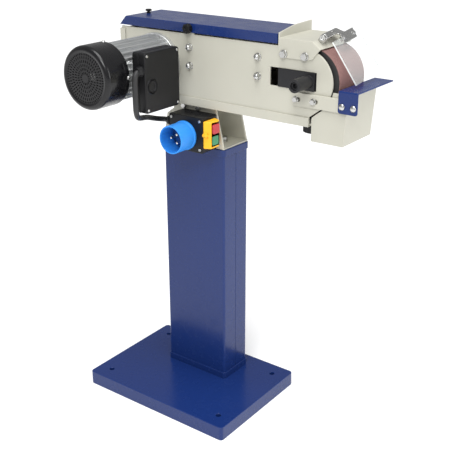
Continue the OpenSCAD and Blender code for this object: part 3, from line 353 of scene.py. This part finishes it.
def make_finishes():
    """Every finish by its slot in the frame, and four that only finished pieces wear."""
    return {
        "stand_blue": powder_coat("blue_powder_coat", (0.008, 0.026, 0.132), 0.24, 500, 0.12),
        "body_grey": powder_coat("grey_powder_coat", (0.50, 0.49, 0.42), 0.42, 900),
        "black_steel": powder_coat("black_stove_enamel", (0.016, 0.016, 0.018), 0.38, 800),
        "fan_black": powder_coat("gloss_stove_enamel", (0.005, 0.005, 0.006), 0.26, 700, 0.2),
        "steel": zinc_steel("zinc_plate", (0.52, 0.52, 0.51), 0.24),
        "pin_brass": zinc_steel("nickel_plate", (0.80, 0.76, 0.66), 0.25),
        "cast_aluminium": cast_alloy("silver_casting", (0.72, 0.73, 0.73), 0.34),
        "black_plastic": moulded_plastic("black_moulding", (0.007, 0.007, 0.008), 0.40),
        "inlet_blue": moulded_plastic("inlet_blue_moulding", (0.035, 0.27, 0.80), 0.36),
        # Painted shade: a darker blue for the inside of the inlet's bore.
        "painted_shade_bore": moulded_plastic("shaded_bore_moulding", (0.018, 0.12, 0.42), 0.4),
        # Painted shade: a still darker blue for the inlet's core, deep in the bore.
        "inlet_core": moulded_plastic("shaded_core_moulding", (0.015, 0.075, 0.25), 0.4),
        "switch_yellow": moulded_plastic("yellow_moulding", (0.92, 0.46, 0.02), 0.36),
        "start_green": moulded_plastic("green_moulding", (0.06, 0.27, 0.13), 0.34),
        "stop_red": moulded_plastic("red_moulding", (0.50, 0.05, 0.06), 0.34),
        "cable_black": ground_rubber("cable_sheath", (0.014, 0.014, 0.015), 0.5),
        "tyre_black": ground_rubber("tyre_rubber", (0.018, 0.018, 0.018), 0.66),
        "belt_cloth": abrasive_cloth(),
        # Painted reflection: the faces are faintly whitish where the sheet mirrors the studio.
        "visor_clear": clear_sheet("clear_polycarbonate", 0.13, 0.18),
        # Painted highlight: the edges are far more opaque white than the faces.
        "visor_painted_highlight": clear_sheet("polycarbonate_painted_highlight", 0.70, 0.80),
    }


def paint_frame():
    """Gives each node of the frame the finish of its slot."""
    for node, slot in slot_of.items():
        mesh = nodes[node].data
        mesh.materials.clear()
        mesh.materials.append(finishes[slot])


# ---- how a piece is made ----

def centre(node):
    """The middle of a node's box."""
    low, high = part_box(node)
    return (low + high) / 2


def fit(name, mesh, like, replaces=(), finish=None, sharp=32):
    """A finished piece that moves with the node it is like, in that node's finish or its own.

    Edges that turn by more than sharp, in degrees, stay sharp."""
    for edge in mesh.edges:
        edge.smooth = (len(edge.link_faces) == 2
                       and edge.calc_face_angle() < math.radians(sharp))
    piece = new_object(name, mesh, smooth=True)
    even = piece.modifiers.new("even_shading", "WEIGHTED_NORMAL")
    even.keep_sharp = True
    piece.data.materials.append(finishes[finish or slot_of[like]])
    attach(piece, nodes[like]["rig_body"])
    if replaces:
        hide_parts(*replaces)
    return piece


def node_shape(node):
    """The node's own shape, merged, with its flats whole."""
    touching, flat = 2e-6, math.radians(0.5)
    mesh = bmesh.new()
    mesh.from_mesh(nodes[node].data)
    bmesh.ops.remove_doubles(mesh, verts=mesh.verts, dist=touching)
    bmesh.ops.dissolve_limit(mesh, angle_limit=flat, verts=mesh.verts, edges=mesh.edges)
    return mesh


def ease_edges(mesh, radius, segments=3):
    """Rounds every edge that turns by more than 40 degrees."""
    corner = math.radians(40)
    edges = [edge for edge in mesh.edges
             if len(edge.link_faces) == 2 and edge.calc_face_angle() > corner]
    bmesh.ops.bevel(mesh, geom=edges, offset=radius, offset_type="OFFSET", segments=segments,
                    profile=0.5, affect="EDGES", clamp_overlap=False, material=-1)


def place(mesh, at, facing):
    """Turns a shape made along +Z in mm to face a way, and puts its foot at a point in metres."""
    turn = Vector(UP).rotation_difference(Vector(facing)).to_matrix().to_4x4()
    bmesh.ops.transform(mesh, matrix=Matrix.Translation(at) @ turn @ Matrix.Scale(MM, 4),
                        verts=mesh.verts)


def turned(profile, at, facing, steps):
    """A shape turned about an axis. The profile is pairs of distance along it and radius, in mm.

    A profile that keeps off the axis at both ends is a ring's section, so its ends are joined."""
    on_axis, touching = 0.1, 1e-4
    mesh = bmesh.new()
    points = [mesh.verts.new((radius, 0, along)) for along, radius in profile]
    lines = [mesh.edges.new(pair) for pair in zip(points, points[1:])]
    if min(profile[0][1], profile[-1][1]) > on_axis:
        lines.append(mesh.edges.new((points[-1], points[0])))
    bmesh.ops.spin(mesh, geom=points + lines, cent=(0, 0, 0), axis=UP, angle=2 * math.pi,
                   steps=steps, use_merge=True)
    bmesh.ops.remove_doubles(mesh, verts=mesh.verts, dist=touching)
    bmesh.ops.recalc_face_normals(mesh, faces=mesh.faces)
    place(mesh, at, facing)
    return mesh


def dome(skirt, radius, rise):
    """The profile of a domed head: a flat foot, a short skirt and a rounded top."""
    return [(0, 0), (0, radius)] + [(skirt + rise * math.sin(turn), radius * math.cos(turn))
                                    for turn in QUARTER]


def join(meshes):
    """Several shapes as one mesh."""
    whole = bmesh.new()
    for mesh in meshes:
        part = bpy.data.meshes.new("part")
        mesh.to_mesh(part)
        mesh.free()
        whole.from_mesh(part)
        bpy.data.meshes.remove(part)
    return whole


# ---- folded sheet, castings and mouldings: the frame's own shapes with their edges rounded ----

EDGE_RADIUS = {
    # stand
    "base_plate": 1.5, "column_near_shell": 0.8, "column_far_shell": 0.8, "column_collars": 0.9,
    # head
    "head_bracket": 1.2, "head_foot": 1.2, "side_plate": 0.9, "belly_channel": 0.8,
    "rear_channel": 0.8, "hood": 1.0, "lid": 0.9, "belt_door": 0.9, "dust_box": 0.8,
    "rest_arm": 1.0, "work_rest": 0.9,
    # boxes, switch and cable entries
    "terminal_box": 1.2, "terminal_lid": 2.4, "switch_box": 1.4, "switch_housing": 2.2,
    "cable_glands": 0.6, "start_button": 1.6, "stop_button": 1.6,
    # castings and turned pieces
    "visor_clamp": 0.8, "visor_arm": 0.7, "wheel_carrier": 0.9, "motor_flange": 1.4,
    "motor_housing": 0.6, "dust_port": 0.9, "inlet_core": 0.9, "lid_knob": 1.2,
    "door_knob_rear": 1.6, "door_knob_front": 1.6, "wheel_tyre": 1.2, "wheel_hub": 0.8,
    # belt, platen and fixings
    "abrasive_belt": 0.2, "platen": 0.5, "frame_bolts": 0.5, "hood_bolts": 0.7,
    "arm_bolts": 0.6, "bracket_bolts": 0.5, "box_screws": 0.25,
}
# The inlet's core wears a darker blue in place of its slot's blue: painted shade deep in the
# bore.
PAINTED_SHADE_FINISH = {"inlet_core": "inlet_core"}


def ease_sheet_and_castings():
    """Rounds the sharp edges, as folding, casting or moulding leaves them, by a radius in mm."""
    for node, radius in EDGE_RADIUS.items():
        mesh = node_shape(node)
        ease_edges(mesh, radius * MM)
        fit(node + "_eased", mesh, node, (node,), PAINTED_SHADE_FINISH.get(node))


# ---- visor and motor ----

def visor():
    """Clear plate with eased edges, which wear a more opaque whitish finish than its faces: a
    painted highlight.
    """
    mesh = node_shape("visor")
    face = max(mesh.faces, key=lambda each: each.calc_area())
    across = face.normal.copy()
    ease_edges(mesh, 0.5 * MM, segments=2)
    mesh.normal_update()
    for each in mesh.faces:
        # Faces across the plate wear the clear finish; the eased edges wear the painted
        # highlight.
        each.material_index = 0 if abs(each.normal.dot(across)) > 0.9 else 1
    plate = fit("visor_plate", mesh, "visor", ("visor",))
    plate.data.materials.append(finishes["visor_painted_highlight"])


def fan_cover():
    """Pressed cover over the cooling fan: a rolled rim, a recessed end, rings of short slots."""
    low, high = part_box("fan_cover")
    middle = (low + high) / 2
    r = (high.x - low.x) / 2 / MM
    long = (high.y - low.y) / MM
    wall, recess, rim, steps = 1.6, 1.6, 9.5, 360
    groove, groove_half, groove_depth = 11.0, 1.0, 0.4
    # each ring of slots: inner and outer radius in mm, then pitch and opening in steps
    rings = [(9.0, 14.0, 24, 12), (16.5, 22.0, 15, 7), (24.5, 30.0, 12, 5),
             (32.5, 38.0, 9, 4), (40.5, 46.0, 8, 3), (48.0, 52.0, 6, 3)]
    radii = [0.0, 5.0]
    for inner, outer, _, _ in rings:
        radii += [inner, outer]
    profile = [(long - recess, radius) for radius in radii]
    profile += [(long - recess, r - rim - 4.0), (long - 0.5, r - rim - 2.0)]
    profile += [(long - rim + rim * math.cos(turn), r - rim + rim * math.sin(turn))
                for turn in QUARTER]
    profile += [(groove + groove_half, r), (groove, r - groove_depth),
                (groove - groove_half, r), (0.0, r)]
    shell = turned(profile, (0, 0, 0), UP, steps)
    slots = []
    for face in shell.faces:
        spot = face.calc_center_median() / MM
        reach = math.hypot(spot.x, spot.y)
        turn = math.degrees(math.atan2(spot.y, spot.x)) % 360
        step = round(turn / 360 * steps - 0.5) % steps
        if spot.z > long - 3 and any(inner < reach < outer and step % pitch < opening
                                     for inner, outer, pitch, opening in rings):
            slots.append(face)
    bmesh.ops.delete(shell, geom=slots, context="FACES")
    bmesh.ops.solidify(shell, geom=shell.faces, thickness=wall * MM)
    upright = Matrix.Rotation(math.radians(90), 4, "X")
    bmesh.ops.transform(shell, verts=shell.verts,
                        matrix=Matrix.Translation((middle.x, high.y, middle.z)) @ upright)
    fit("pressed_fan_cover", shell, "fan_cover", ("fan_cover",), "fan_black")


def motor_cable():
    """Sheathed cable from the terminal box, under it and back to the switch box."""
    route = [(0, -147, 824), (0, -152, 824), (0, -158, 822), (0, -162.5, 817),
             (0, -164.5, 810), (0, -165, 802), (0, -165, 792), (0, -165, 782),
             (0, -165, 772), (0, -165, 762), (-0.5, -164.5, 752), (-1.5, -163, 743),
             (-3.5, -159.5, 735), (-7, -154, 728.5), (-11.5, -146, 723.5), (-16.5, -136, 720),
             (-22, -124, 717), (-28, -111, 714), (-35, -97, 710.5), (-42, -83, 706.5),
             (-48.5, -69, 702), (-53, -56, 697.5), (-55, -43.5, 693.5), (-54.5, -33, 690.5),
             (-51, -25, 689), (-46, -21, 688.5), (-41, -20, 688.5), (-38, -20, 688.5)]
    curve = bpy.data.curves.new("sheath_line", "CURVE")
    curve.dimensions = "3D"
    curve.bevel_depth = 5.9 * MM
    curve.bevel_resolution = 6
    curve.resolution_u = 3
    curve.use_fill_caps = True
    line = curve.splines.new("NURBS")
    line.points.add(len(route) - 1)
    for point, spot in zip(line.points, route):
        point.co = (*(Vector(spot) * MM), 1)
    line.order_u = 3
    line.use_endpoint_u = True
    holder = add("sheath_line", curve)
    bpy.context.view_layer.update()
    drawn = holder.evaluated_get(bpy.context.evaluated_depsgraph_get())
    data = bpy.data.meshes.new_from_object(drawn)
    bpy.data.objects.remove(holder)
    mesh = bmesh.new()
    mesh.from_mesh(data)
    bpy.data.meshes.remove(data)
    bmesh.ops.remove_doubles(mesh, verts=mesh.verts, dist=1e-6)
    bmesh.ops.recalc_face_normals(mesh, faces=mesh.faces)
    fit("cable_sheath", mesh, "motor_cable", ("motor_cable",), sharp=60)


# ---- fixings ----

def cap_nuts():
    """Domed caps over the four frame bolts on the side plate's motor side."""
    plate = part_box("side_plate")[0].y
    foot = plate - 7.4 * MM
    caps = [turned(dome(0.6, 6.3, 5.2), (x * MM, foot, z * MM), MOTOR_SIDE, 32)
            for x in (6.0, 187.0) for z in (851.0, 811.0)]
    fit("cap_nut_domes", join(caps), "frame_bolts")


def rest_bolt_heads():
    """Polished domes of the two bolts through the rest's tab."""
    low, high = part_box("rest_bolts")
    half_head = 6 * MM
    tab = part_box("work_rest")[0].y
    heads = [turned(dome(0.8, 6.6, 3.6), (x, tab, (low.z + high.z) / 2), MOTOR_SIDE, 36)
             for x in (low.x + half_head, high.x - half_head)]
    fit("rest_bolt_domes", join(heads), "rest_bolts")


# ---- mains inlet and switch box ----

def inlet_shroud():
    """The inlet's collar: its own blue outside, and a darker blue down its bore that is painted
    shade.
    """
    wall, lip = 4.6 * MM, 5 * MM
    mesh = node_shape("inlet_shroud")
    ease_edges(mesh, 1.0 * MM)
    mesh.normal_update()
    middle = centre("inlet_shroud")
    low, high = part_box("inlet_shroud")
    bore = (high.x - low.x) / 2 - wall
    for face in mesh.faces:
        spot = face.calc_center_median()
        reach = math.hypot(spot.x - middle.x, spot.z - middle.z)
        # Faces inside the bore, past the lip, take the painted shade.
        face.material_index = 1 if reach < bore and spot.y > low.y + lip else 0
    shroud = fit("inlet_collar", mesh, "inlet_shroud", ("inlet_shroud",))
    shroud.data.materials.append(finishes["painted_shade_bore"])


def inlet_pins():
    """Three plated pins with rounded tips, and the raised lip round the inlet's core."""
    tip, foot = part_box("inlet_pins")[0].y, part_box("inlet_core")[0].y
    core = centre("inlet_core")
    circle, sunk = 11 * MM, 3
    long = (foot - tip) / MM + sunk
    pin = [(0, 0), (0, 3.1), (long - 1.6, 3.1), (long - 0.5, 2.6), (long, 1.4), (long, 0)]
    pins = []
    for turn in (math.radians(60), math.radians(180), math.radians(300)):
        spot = (core.x + circle * math.cos(turn), foot + sunk * MM,
                core.z + circle * math.sin(turn))
        pins.append(turned(pin, spot, MOTOR_SIDE, 24))
    fit("plated_pins", join(pins), "inlet_pins", ("inlet_pins",))
    lip = [(0, 19.5), (0, 20.6), (3.0, 20.6), (4.0, 19.9), (4.0, 19.5)]
    sleeve = turned(lip, (core.x, foot, core.z), MOTOR_SIDE, 64)
    # The lip takes the core's darker blue, which is painted shade.
    fit("core_lip", sleeve, "inlet_core", finish="inlet_core")


def box_knockouts():
    """Raised rings of the unused cable entries on the switch box's top."""
    outer = [(-0.5, 8.4), (0.5, 8.6), (0.8, 9.1), (0.5, 9.6), (-0.5, 9.8)]
    inner = [(-0.5, 3.0), (0.4, 3.2), (0.6, 3.6), (0.4, 4.0), (-0.5, 4.2)]
    low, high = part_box("switch_box")
    rings = []
    for across, back in ((0.36, 0.55), (0.70, 0.45)):
        spot = (low.x + across * (high.x - low.x), low.y + back * (high.y - low.y), high.z)
        rings += [turned(outer, spot, UP, 48), turned(inner, spot, UP, 32)]
    fit("knockout_rings", join(rings), "switch_box")


set_camera()
set_studio()
finishes = make_finishes()
paint_frame()
ease_sheet_and_castings()
fan_cover()
visor()
cap_nuts()
rest_bolt_heads()
inlet_shroud()
inlet_pins()
box_knockouts()
motor_cable()
